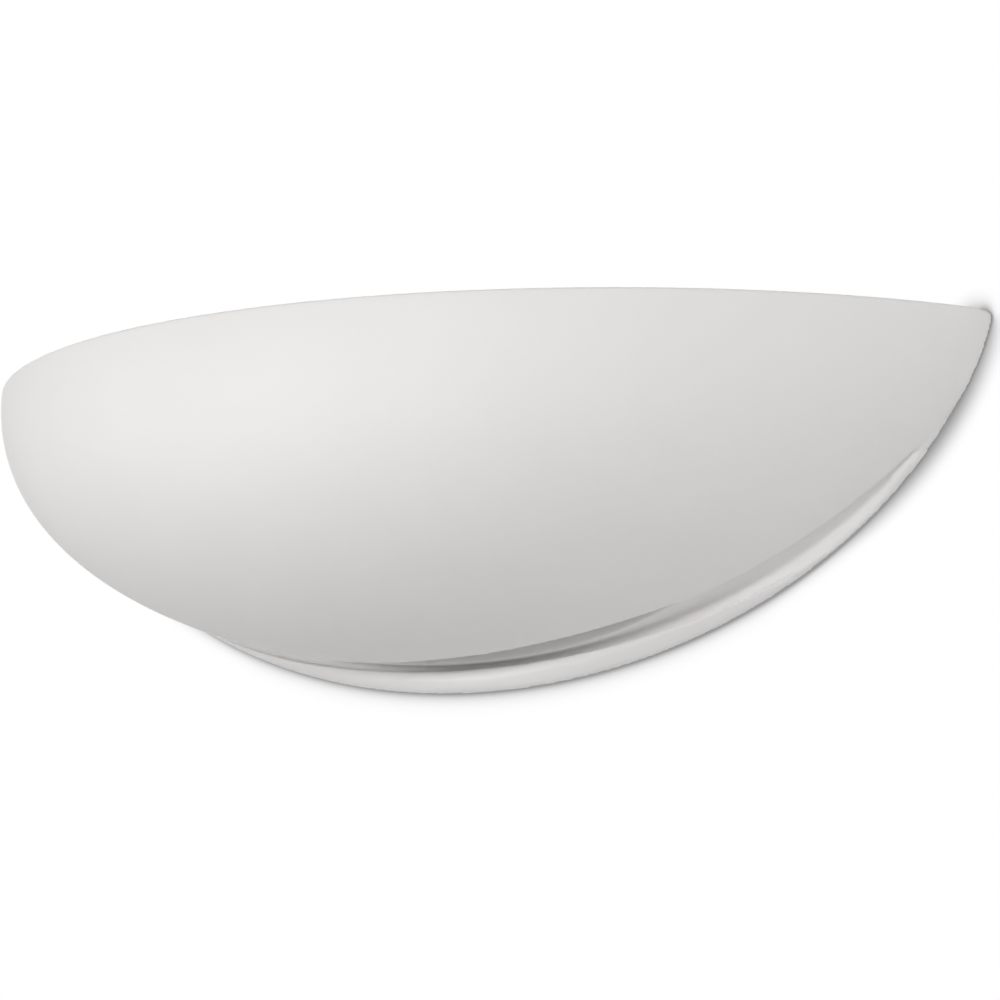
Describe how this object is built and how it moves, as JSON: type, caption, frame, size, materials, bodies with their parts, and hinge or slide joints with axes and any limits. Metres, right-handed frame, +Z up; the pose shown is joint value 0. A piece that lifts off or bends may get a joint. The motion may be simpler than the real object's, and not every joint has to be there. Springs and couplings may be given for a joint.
{
  "type": "uplighter wall sconce",
  "caption": "Half-bowl ceramic wall uplighter with a light slot and back lip, hung on a steel bracket that carries a lampholder, lamp and terminal block.",
  "frame": {"origin": "on the wall plane, midway between the two wall fixings", "axes": "+Z up, +Y into the wall, -Y towards the room, +X to the right seen from the front"},
  "size_m": [0.3796, 0.1456, 0.1007],
  "materials": {
    "bisque_ceramic": "matt white, unglazed, fine-grained",
    "zinc_steel": "zinc-plated sheet and turned steel",
    "bush_rubber": "black, matt",
    "porcelain": "white glaze",
    "brass": "bare, slightly dull",
    "nickel_cap": "nickel-plated pressed sheet",
    "black_insulator": "black, smooth",
    "housing_plastic": "white, moulded",
    "opal_diffuser": "opal, translucent",
    "board_aluminium": "white-coated board",
    "led_phosphor": "yellow phosphor",
    "driver_board": "green board",
    "block_plastic": "natural white, moulded",
    "brown_sleeve": "brown insulation",
    "blue_sleeve": "blue insulation",
    "earth_sleeve": "green insulation with a yellow stripe",
    "tie_plastic": "natural, smooth"
  },
  "bodies": {
    "wall_side": {"wall_bracket": "zinc_steel", "hanging_studs": "zinc_steel", "cable_bush": "bush_rubber", "holder_arm": "zinc_steel", "arm_rivets": "zinc_steel", "lampholder_body": "porcelain", "lampholder_shell": "brass", "lampholder_tongue": "brass", "tongue_rivet": "brass", "lampholder_inserts": "brass", "lampholder_screws": "zinc_steel", "lampholder_terminals": "brass", "lampholder_terminal_screws": "zinc_steel", "terminal_block": "block_plastic", "terminal_inserts": "brass", "terminal_screws": "zinc_steel", "terminal_block_screws": "zinc_steel", "earth_lug": "brass", "earth_washer": "zinc_steel", "earth_screw": "zinc_steel", "live_lead": "brown_sleeve", "neutral_lead": "blue_sleeve", "earth_lead": "earth_sleeve", "lead_tie": "tie_plastic"},
    "bowl": {"bowl_body": "bisque_ceramic"},
    "lamp_slide": {"lamp_tip_contact": "nickel_cap"},
    "lamp": {"lamp_cap_insulator": "black_insulator", "lamp_cap": "nickel_cap", "lamp_housing": "housing_plastic", "lamp_globe": "opal_diffuser", "led_board": "board_aluminium", "led_chips": "led_phosphor", "lamp_driver": "driver_board"}
  },
  "joints": [
    {"name": "bowl_lift", "type": "slide", "parent": "wall_side", "child": "bowl", "axis": [0, 0, 1], "range_m": [0, 0.008]},
    {"name": "lamp_advance", "type": "slide", "parent": "wall_side", "child": "lamp_slide", "axis": [1, 0, 0], "range_m": [0, 0.0091]},
    {"name": "lamp_turn", "type": "hinge", "parent": "lamp_slide", "child": "lamp", "pos_m": [-0.0715, -0.062, -0.01], "axis": [1, 0, 0], "range_deg": [0, 900]}
  ],
  "couplings": [
    {"joint": "lamp_advance", "follows": "lamp_turn", "m_per_rad": 0.00057773}
  ]
}
